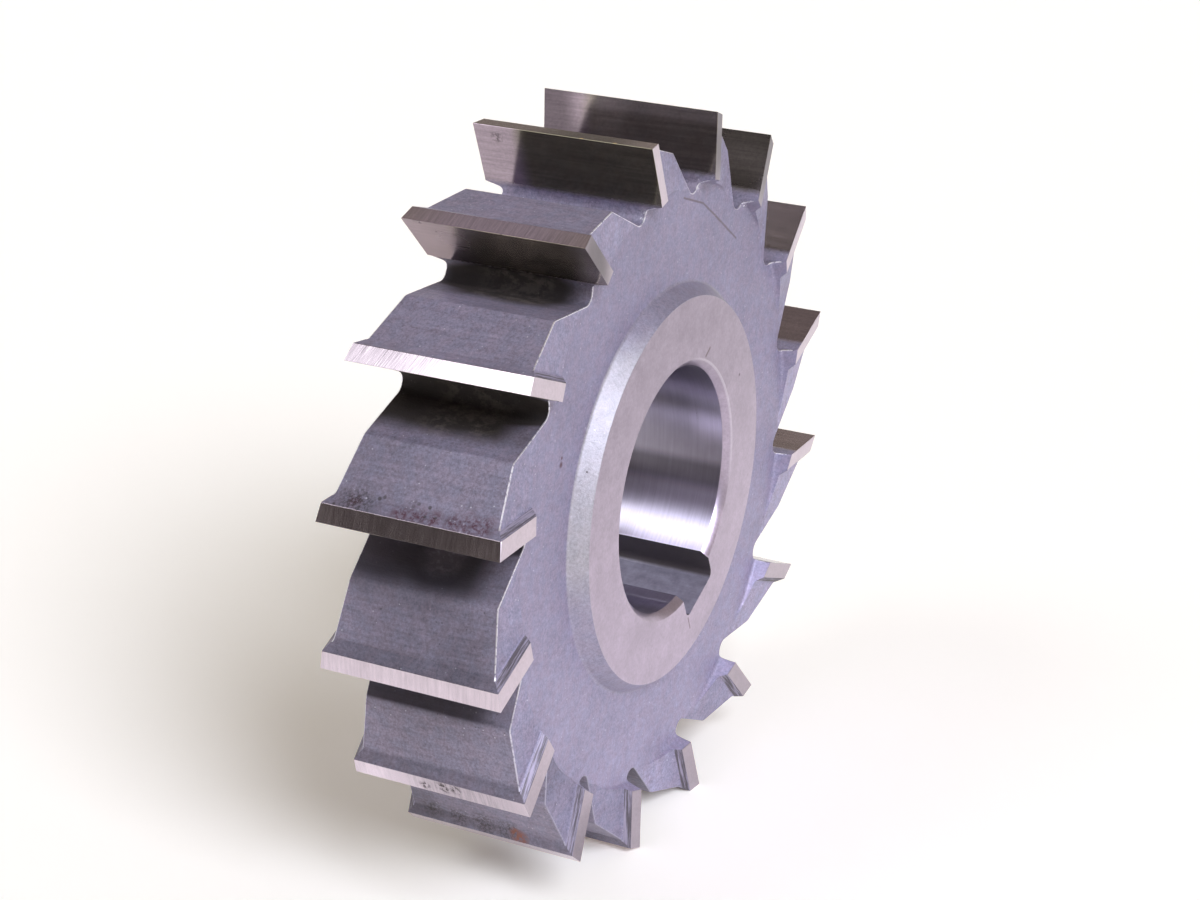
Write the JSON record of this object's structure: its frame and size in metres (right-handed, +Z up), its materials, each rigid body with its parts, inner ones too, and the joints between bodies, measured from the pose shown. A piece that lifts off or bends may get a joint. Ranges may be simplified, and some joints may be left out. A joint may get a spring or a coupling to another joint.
{
  "type": "side milling cutter",
  "caption": "Solid disc milling cutter with straight raked teeth cutting on rim and both faces, a raised hub and a keyed bore.",
  "frame": {"origin": "centre of the bore, halfway between the two faces", "axes": "+Y along the bore axis from the front face to the back face, +Z up as the cutter stands on two teeth"},
  "size_m": [0.0748, 0.019, 0.0748],
  "materials": {
    "tool_steel": "blasted lilac-grey body with ground teeth, hub faces and bore"
  },
  "bodies": {
    "root": {"side_milling_cutter": "tool_steel"}
  },
  "joints": []
}
